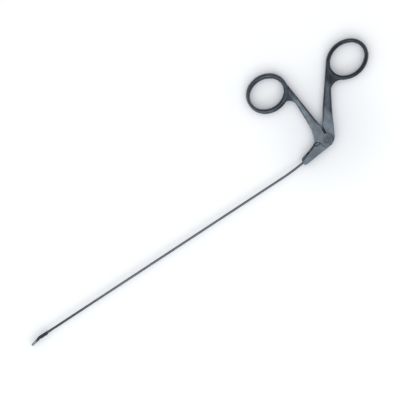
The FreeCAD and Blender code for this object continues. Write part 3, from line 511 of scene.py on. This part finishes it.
HANDLE_FINISH = SteelFinish(
    "forged_satin_steel", tint=(0.226, 0.266, 0.306), dark_tint=(0.148, 0.160, 0.178),
    worn_tint=(0.27, 0.32, 0.37), roughness=0.34, grain=Grain.BEAD_BLASTED, mottle_size=2.2,
    mottle_depth=0.9, wear=0.10, grime_and_shade=0.85, dark_patch_and_shade_tint=(0.014, 0.018, 0.024), flank_shade_depth=0.35,
    hollow_shade_depth=0.50, hollow_shade_spared=LEDGE_SPARED_SHADE, grime_and_shade_spared=BOSS_SPARED_SHADE, patch_polish=0.22,
    shade_and_dark_patches=(DARKER_BOSS, TOE_GAP_SHADE, DARKER_NOSE, THUMB_ARM_SHADE, FINGER_RING_SHADE,
            THUMB_RING_SHADE))
SCREW_FINISH = SteelFinish(
    "turned_screw_steel", tint=(0.150, 0.180, 0.210), dark_tint=(0.100, 0.122, 0.146),
    worn_tint=(0.30, 0.35, 0.40), roughness=0.32, grain=Grain.TURNED, mottle_size=1.2,
    edge_radius=0.12, grime_and_shade=0.8, crevice_reach=0.6)
TUBE_FINISH = SteelFinish(
    "drawn_tube_steel", tint=(0.176, 0.197, 0.220), dark_tint=(0.124, 0.139, 0.158),
    worn_tint=(0.30, 0.33, 0.36), roughness=0.34, grain=Grain.DRAWN, mottle_size=6.0,
    edge_radius=0.15, wear=0.2, grime_and_shade=0.5, crevice_reach=0.8, shade_and_dark_patches=(DARKER_TUBE_END,))
JAW_FINISH = SteelFinish(
    "dark_jaw_steel", tint=(0.300, 0.330, 0.370), dark_tint=(0.200, 0.222, 0.250),
    worn_tint=(0.42, 0.46, 0.50), roughness=0.32, grain=Grain.BEAD_BLASTED, mottle_size=1.0,
    edge_radius=0.06, wear=0.25, grime_and_shade=0.6, crevice_reach=0.6, shade_and_dark_patches=(DARKER_JAW_BOX,))
BRIGHT_FINISH = SteelFinish(
    "bright_polished_steel", tint=(0.56, 0.61, 0.70), dark_tint=(0.42, 0.46, 0.54),
    worn_tint=(0.74, 0.78, 0.84), roughness=0.20, grain=Grain.DRAWN, grain_depth=0.25,
    mottle_size=1.5, mottle_depth=0.35, edge_radius=0.08, wear=0.3, grime_and_shade=0.5, crevice_reach=0.5,
    shade_and_dark_patches=(DARKER_COLLAR,))


class Workshop:
    """Materials by slot, made once, and the shared ways of putting pieces on bodies."""

    FINISHES: ClassVar[dict[Slot, SteelFinish]] = {
        Slot.HANDLE: HANDLE_FINISH, Slot.SCREW: SCREW_FINISH, Slot.TUBE: TUBE_FINISH,
        Slot.JAW: JAW_FINISH, Slot.BRIGHT: BRIGHT_FINISH}

    def __init__(self) -> None:
        """Make every material once."""
        self.materials = {slot: finish.build() for slot, finish in self.FINISHES.items()}

    def paint(self, thing: bpy.types.Object, slot: Slot) -> None:
        """Give a piece its finish.

        Args:
            thing: The piece.
            slot: The record's slot it belongs to.
        """
        thing.data.materials.clear()
        thing.data.materials.append(self.materials[slot])

    def node(self, name: str, slot: Slot) -> None:
        """Dress a CAD node that stays as it is.

        Args:
            name: The node.
            slot: The record's slot it belongs to.
        """
        self.paint(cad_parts[name], slot)
        LOG.info("dressed %s", name)

    def piece(self, name: str, mesh: bpy.types.Mesh, body: str, slot: Slot,
              replaces: tuple[str, ...]) -> None:
        """Put a new piece on its body.

        Args:
            name: The piece's name.
            mesh: Its mesh, in the row frame.
            body: The body it rides on.
            slot: The record's slot it belongs to.
            replaces: CAD nodes that it stands for.
        """
        thing = place_object(name, mesh)
        mesh.name = name
        self.paint(thing, slot)
        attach(thing, body)
        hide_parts(*replaces)
        LOG.info("built %s: %d faces on %s", name, len(mesh.polygons), body)


def place_object(name: str, data: bpy.types.ID) -> bpy.types.Object:
    """Make an object and put it in the scene.

    Args:
        name: Its name.
        data: Its mesh, camera or lamp.

    Returns:
        The object.
    """
    thing = bpy.data.objects.new(name, data)
    bpy.context.scene.collection.objects.link(thing)
    return thing


@dataclass(frozen=True)
class RingShape:
    """Oval finger ring in plan, in millimetres; its band is elliptical in section."""

    centre: Spot
    tilt_deg: float
    hole: Spot
    outer: Spot
    shift: float = 0.0

    def half_height(self, x: float, y: float) -> float:
        """Half height of the band over a spot.

        Args:
            x: Spot.
            y: Spot.

        Returns:
            The half height, 0 off the band.
        """
        turn = math.radians(self.tilt_deg)
        along = (x - self.centre[0]) * math.cos(turn) + (y - self.centre[1]) * math.sin(turn)
        across = (y - self.centre[1]) * math.cos(turn) - (x - self.centre[0]) * math.sin(turn)
        from_hole = math.hypot(along / self.hole[0], across / self.hole[1]) - 1.0
        to_rim = 1.0 - math.hypot((along - self.shift) / self.outer[0], across / self.outer[1])
        if from_hole <= 0.0 or to_rim <= 0.0:
            return 0.0
        hole_way, rim_way = from_hole * min(self.hole), to_rim * min(self.outer)
        place = 2.0 * hole_way / (hole_way + rim_way) - 1.0
        return PLATE_MID * math.sqrt(max(0.0, 1.0 - place * place))


@dataclass(frozen=True)
class Station:
    """Section of an arm, in millimetres: its reach from the pivot, both sides and its height."""

    reach: float
    low: float
    high: float
    tall: float


@dataclass(frozen=True)
class ArmShape:
    """Crowned arm in plan, straight between its stations."""

    angle_deg: float
    stations: tuple[Station, ...]
    crown: float = 2.6

    def reach(self, x: float, y: float) -> float:
        """How far out along the arm a spot lies."""
        turn = math.radians(self.angle_deg)
        return x * math.cos(turn) + y * math.sin(turn)

    def half_height(self, x: float, y: float) -> float:
        """Half height of the arm over a spot.

        Args:
            x: Spot.
            y: Spot.

        Returns:
            The half height, 0 off the arm.
        """
        turn = math.radians(self.angle_deg)
        reach = max(self.reach(x, y), self.stations[0].reach)
        across = x * math.sin(turn) - y * math.cos(turn)
        for near, far in zip(self.stations, self.stations[1:]):
            if near.reach <= reach <= far.reach:
                share = (reach - near.reach) / (far.reach - near.reach)
                low = near.low + (far.low - near.low) * share
                high = near.high + (far.high - near.high) * share
                tall = near.tall + (far.tall - near.tall) * share
                place = abs(2.0 * (across - low) / (high - low) - 1.0)
                if place < 1.0:
                    return 0.5 * tall * (1.0 - place ** self.crown) ** (1.0 / self.crown)
        return 0.0


def soft_max(first: float, second: float, reach: float) -> float:
    """Larger of two heights with a fillet where they cross.

    Args:
        first: One height.
        second: The other.
        reach: Size of the fillet.

    Returns:
        The joined height.
    """
    overlap = max(reach - abs(first - second), 0.0) / reach
    return max(first, second) + overlap * overlap * reach * 0.25


@dataclass
class ForgedHandle:
    """A handle half: its CAD solid's skin, re-meshed evenly and relieved as a forging is.

    Lengths are in millimetres. The pivot end, up to root_reach, keeps the solid's own shape.
    """

    node: str
    body: str
    ring: RingShape
    arm: ArmShape
    root_reach: float
    web_centre: Spot
    web_radius: float = 5.5
    web_fade: float = 4.5
    web_half: float = 2.5
    web_core: float = 0.9
    web_near: float = 0.25
    level_normal: float = 0.8
    fillet: float = 2.4
    root_fade: float = 11.0
    crisp_fade: float = 3.0
    hair: float = 0.06
    voxel: float = 0.30
    easing: float = 0.5
    skin_rounds: int = 4
    soften_rounds: int = 8

    def build(self, shop: Workshop) -> None:
        """Make the handle.

        Args:
            shop: Where the finish comes from.
        """
        mesh = self._skin()
        self._relieve(mesh)
        mesh = self._soften(mesh)
        shop.piece(self.node + "_forging", mesh, self.body, Slot.HANDLE, (self.node,))

    def _skin(self) -> bpy.types.Mesh:
        """Even skin of the CAD solid.

        Returns:
            The mesh.
        """
        source = place_object("source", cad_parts[self.node].data.copy())
        remesh = source.modifiers.new("even", "REMESH")
        remesh.mode = "VOXEL"
        remesh.voxel_size = self.voxel * MM
        remesh.use_smooth_shade = True
        self._ease(source, self.skin_rounds)
        return self._applied(source)

    def _relieve(self, mesh: bpy.types.Mesh) -> None:
        """Crown the arm, round the ring's band and fillet the web into both.

        Args:
            mesh: The even skin, changed in place.
        """
        for vertex in mesh.vertices:
            x, y, z = vertex.co.x / MM, vertex.co.y / MM, vertex.co.z / MM - PLATE_MID
            reach = self.arm.reach(x, y)
            if reach < self.root_reach:
                continue
            bar = soft_max(self.ring.half_height(x, y), self.arm.half_height(x, y), self.fillet)
            away = math.hypot(x - self.web_centre[0], y - self.web_centre[1]) - self.web_radius
            share = 1.0 - share_of(away, self.web_fade)
            web = self.web_half * share * share * (3.0 - 2.0 * share)
            limit = min(PLATE_MID, soft_max(bar, web, self.fillet))
            on_web = (share > self.web_core and abs(abs(z) - self.web_half) < self.web_near
                      and abs(vertex.normal.z) > self.level_normal)
            if abs(z) > limit or on_web:
                blend = share_of(reach - self.root_reach, self.root_fade)
                target = math.copysign(limit, z)
                vertex.co.z = (z + (target - z) * blend + PLATE_MID) * MM
        mesh.update()

    def _soften(self, mesh: bpy.types.Mesh) -> bpy.types.Mesh:
        """Even out the relieved part, and set the pivot end back on the solid, a hair inside it.

        Args:
            mesh: The relieved skin.

        Returns:
            The softened mesh.
        """
        source = place_object("source", mesh)
        relieved = source.vertex_groups.new(name="relieved")
        crisp = source.vertex_groups.new(name="crisp")
        for vertex in mesh.vertices:
            past_root = self.arm.reach(vertex.co.x / MM, vertex.co.y / MM) - self.root_reach
            relieved.add([vertex.index], share_of(past_root, self.root_fade), "REPLACE")
            near = share_of(self.crisp_fade - past_root, self.crisp_fade)
            crisp.add([vertex.index], near, "REPLACE")
        settle = source.modifiers.new("settle", "SHRINKWRAP")
        settle.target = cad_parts[self.node]
        settle.wrap_method = "NEAREST_SURFACEPOINT"
        settle.wrap_mode = "ABOVE_SURFACE"
        settle.offset = -self.hair * MM
        settle.vertex_group = crisp.name
        self._ease(source, self.soften_rounds, relieved.name)
        return self._applied(source)

    def _ease(self, source: bpy.types.Object, rounds: int, group: str = "") -> None:
        """Smooth a skin.

        Args:
            source: The object that holds it.
            rounds: How many times.
            group: Vertex group that limits it, or nothing for the whole skin.
        """
        ease = source.modifiers.new("ease", "SMOOTH")
        ease.factor = self.easing
        ease.iterations = rounds
        ease.vertex_group = group

    @staticmethod
    def _applied(source: bpy.types.Object) -> bpy.types.Mesh:
        """Mesh of an object with its modifiers applied; the object goes.

        Args:
            source: The object.

        Returns:
            The new mesh.
        """
        graph = bpy.context.evaluated_depsgraph_get()
        mesh = bpy.data.meshes.new_from_object(source.evaluated_get(graph))
        bpy.data.objects.remove(source)
        return mesh


THUMB_HANDLE = ForgedHandle(
    "rear_handle", "frame",
    ring=RingShape(centre=(47.1, 43.05), tilt_deg=7.5, hole=(14.36, 11.21), outer=(17.41, 14.56)),
    arm=ArmShape(56.7, (Station(12.0, -3.1, 5.25, 7.0), Station(24.0, -2.95, 4.2, 6.0),
                        Station(42.0, -1.75, 3.3, 5.4), Station(61.0, -0.5, 2.6, 5.8))),
    root_reach=13.0, web_centre=(29.5, 37.5))
FINGER_HANDLE = ForgedHandle(
    "front_handle", "lever",
    ring=RingShape(centre=(-18.7, 54.4), tilt_deg=-1.6, hole=(13.55, 11.01), outer=(16.6, 15.01),
                   shift=0.45),
    arm=ArmShape(90.0, (Station(10.5, -5.3, 2.2, 7.0), Station(21.5, -4.65, 1.1, 6.0),
                        Station(40.5, -4.3, -0.6, 5.4), Station(57.0, -5.2, -2.4, 5.8))),
    root_reach=11.5, web_centre=(-6.0, 43.5))


@dataclass
class DressedGroup:
    """Pieces that keep their CAD shape and get their finishes."""

    nodes: dict[str, Slot] = field(default_factory=dict)

    def build(self, shop: Workshop) -> None:
        """Dress the group.

        Args:
            shop: Where the finishes come from.
        """
        for name, slot in self.nodes.items():
            shop.node(name, slot)


@dataclass
class PivotGroup(DressedGroup):
    """The screw in the lap joint and the small drive parts under it."""

    nodes: dict[str, Slot] = field(default_factory=lambda: {
        "pivot_screw": Slot.SCREW, "tube_grub_screw": Slot.SCREW,
        "drive_pin": Slot.BRIGHT, "rod_slider": Slot.BRIGHT})


@dataclass
class ShaftGroup(DressedGroup):
    """The tube with its ferrule and the rod inside it."""

    nodes: dict[str, Slot] = field(default_factory=lambda: {
        "shaft_tube": Slot.TUBE, "tube_ferrule": Slot.TUBE, "drive_rod": Slot.BRIGHT})


@dataclass
class TipGroup(DressedGroup):
    """The jaws with their pins, the rod's tongue and the collar."""

    nodes: dict[str, Slot] = field(default_factory=lambda: {
        "fixed_jaw": Slot.JAW, "moving_jaw": Slot.JAW, "tip_collar": Slot.BRIGHT,
        "rod_tongue": Slot.BRIGHT, "jaw_pivot_pin": Slot.BRIGHT, "jaw_drive_pin": Slot.BRIGHT})


@dataclass
class Studio:
    """Pale floor, soft light and the camera straight above, in metres.

    The world is pale overhead (zenith), low down (horizon) and on two sides (glow and rim), and
    dimmer between them (upper).
    """

    centre: Spot = (-0.1057, 0.0147)
    roll_deg: float = 33.27
    frame_wide: float = 0.3058
    height: float = 1.6
    sensor_mm: float = 36.0
    far_clip: float = 20.0
    floor_half: float = 3.0
    floor_drop: float = 0.0002
    floor_white: float = 0.85
    floor_lift: float = 0.33
    floor_samples: int = 16
    shade_reach: float = 0.12
    shade_power: float = 1.1
    shade_tint: Color = (0.0, 0.012, 0.045)
    hub_shade: Patch = Patch(6.0, 6.0, 14.0, 64.0, 0.30)
    sky_tint: Color = (0.94, 0.97, 1.0)
    zenith: float = 0.95
    zenith_ramp: Ramp = (0.45, 0.97)
    upper: float = 0.20
    horizon: float = 0.70
    horizon_ramp: Ramp = (0.02, 0.22)
    glow: float = 1.0
    glow_side: Vector3 = (-0.98, -0.20, 0.0)
    glow_ramp: Ramp = (0.25, 0.85)
    rim: float = 0.7
    rim_side: Vector3 = (0.836, -0.549, 0.0)
    rim_ramp: Ramp = (0.78, 0.97)
    lamp_size: Spot = (0.8, 0.5)
    lamp_energy: float = 3.8
    lamp_place: Vector3 = (-0.30, -1.2, 1.0)
    lamp_aim: Vector3 = (-0.05, 0.0, 0.0)

    def build(self) -> None:
        """Set up the whole stage."""
        bpy.context.scene.view_settings.view_transform = "Standard"
        self._camera()
        self._floor()
        self._world()
        self._lamp()

    def _camera(self) -> None:
        """Long lens straight above, rolled as in the photograph."""
        lens = bpy.data.cameras.new("camera")
        lens.sensor_width = self.sensor_mm
        lens.lens = self.sensor_mm * self.height / self.frame_wide
        lens.clip_end = self.far_clip
        camera = place_object("camera", lens)
        camera.location = (*self.centre, self.height)
        camera.rotation_euler = (0.0, 0.0, math.radians(-self.roll_deg))
        bpy.context.scene.camera = camera

    def _floor(self) -> None:
        """White ground that keeps a soft shade round the instrument."""
        half, level = self.floor_half, -self.floor_drop
        corners = [(-half, -half, level), (half, -half, level), (half, half, level),
                   (-half, half, level)]
        mesh = bpy.data.meshes.new("floor")
        mesh.from_pydata(corners, [], [(0, 1, 2, 3)])
        floor = place_object("floor", mesh)
        floor.data.materials.append(self._floor_material())

    def _floor_material(self) -> bpy.types.Material:
        """Matt white with a lift that the camera sees, weaker near the instrument.

        Returns:
            The material.
        """
        material = bpy.data.materials.new("pale_floor")
        material.use_nodes = True
        graph = Graph(material.node_tree)
        matt = graph.add("ShaderNodeBsdfDiffuse", None, {"Color": (*(self.floor_white,) * 3, 1.0)})
        shade = graph.add("ShaderNodeAmbientOcclusion", {"samples": self.floor_samples},
                          {"Distance": self.shade_reach}, "AO")
        # Painted shadow on the floor: the lift fades where the floor is occluded and in a round patch at
        # the hub.
        open_air = shade ** self.shade_power * self.hub_shade.outside(graph, graph.place_mm())
        lit = graph.blend(open_air, self.shade_tint, (self.floor_lift,) * 3)
        glow = graph.blend(self._seen(graph), BLACK, lit)
        lift = graph.add("ShaderNodeEmission", None, {"Color": glow, "Strength": 1.0})
        both = graph.add("ShaderNodeAddShader", None, {0: matt, 1: lift})
        graph.add("ShaderNodeOutputMaterial", None, {"Surface": both})
        return material

    @staticmethod
    def _seen(graph: Graph) -> Field:
        """1 for rays from the camera, from a mirror or through glass.

        Args:
            graph: The tree it is used in.

        Returns:
            The mask.
        """
        camera, mirror, glass = (
            graph.add("ShaderNodeLightPath", output=name)
            for name in ("Is Camera Ray", "Is Glossy Ray", "Is Transmission Ray"))
        return camera.at_least(mirror).at_least(glass)

    def _world(self) -> None:
        """Soft surroundings, from the levels and directions above."""
        world = bpy.data.worlds.new("studio")
        bpy.context.scene.world = world
        world.use_nodes = True
        graph = Graph(world.node_tree)
        direction = graph.add("ShaderNodeTexCoord", output="Generated")
        rise = graph.vector("DOT_PRODUCT", direction, UP)
        overhead = rise.ramp(*self.zenith_ramp)
        low = 1.0 - abs(rise).ramp(*self.horizon_ramp)
        near = graph.vector("DOT_PRODUCT", direction, self.glow_side).ramp(*self.glow_ramp)
        far = graph.vector("DOT_PRODUCT", direction, self.rim_side).ramp(*self.rim_ramp)
        level = (self.upper + overhead * (self.zenith - self.upper)
                 + low * (self.horizon - self.upper) + near * self.glow + far * self.rim)
        background = graph.add("ShaderNodeBackground", None,
                               {"Color": (*self.sky_tint, 1.0), "Strength": level})
        graph.add("ShaderNodeOutputWorld", None, {"Surface": background})

    def _lamp(self) -> None:
        """One large soft lamp from the near side."""
        lamp = bpy.data.lights.new("softbox", "AREA")
        lamp.shape = "RECTANGLE"
        lamp.size, lamp.size_y = self.lamp_size
        lamp.energy = self.lamp_energy
        softbox = place_object("softbox", lamp)
        softbox.location = self.lamp_place
        aim = Vector(self.lamp_aim) - Vector(self.lamp_place)
        softbox.rotation_euler = aim.to_track_quat("-Z", "Y").to_euler()


def main() -> None:
    """Build the instrument group by group, then the stage."""
    logging.basicConfig(level=logging.INFO, format="%(name)s: %(message)s")
    shop = Workshop()
    THUMB_HANDLE.build(shop)
    FINGER_HANDLE.build(shop)
    PivotGroup().build(shop)
    ShaftGroup().build(shop)
    TipGroup().build(shop)
    Studio().build()


if __name__ == "__main__":
    main()
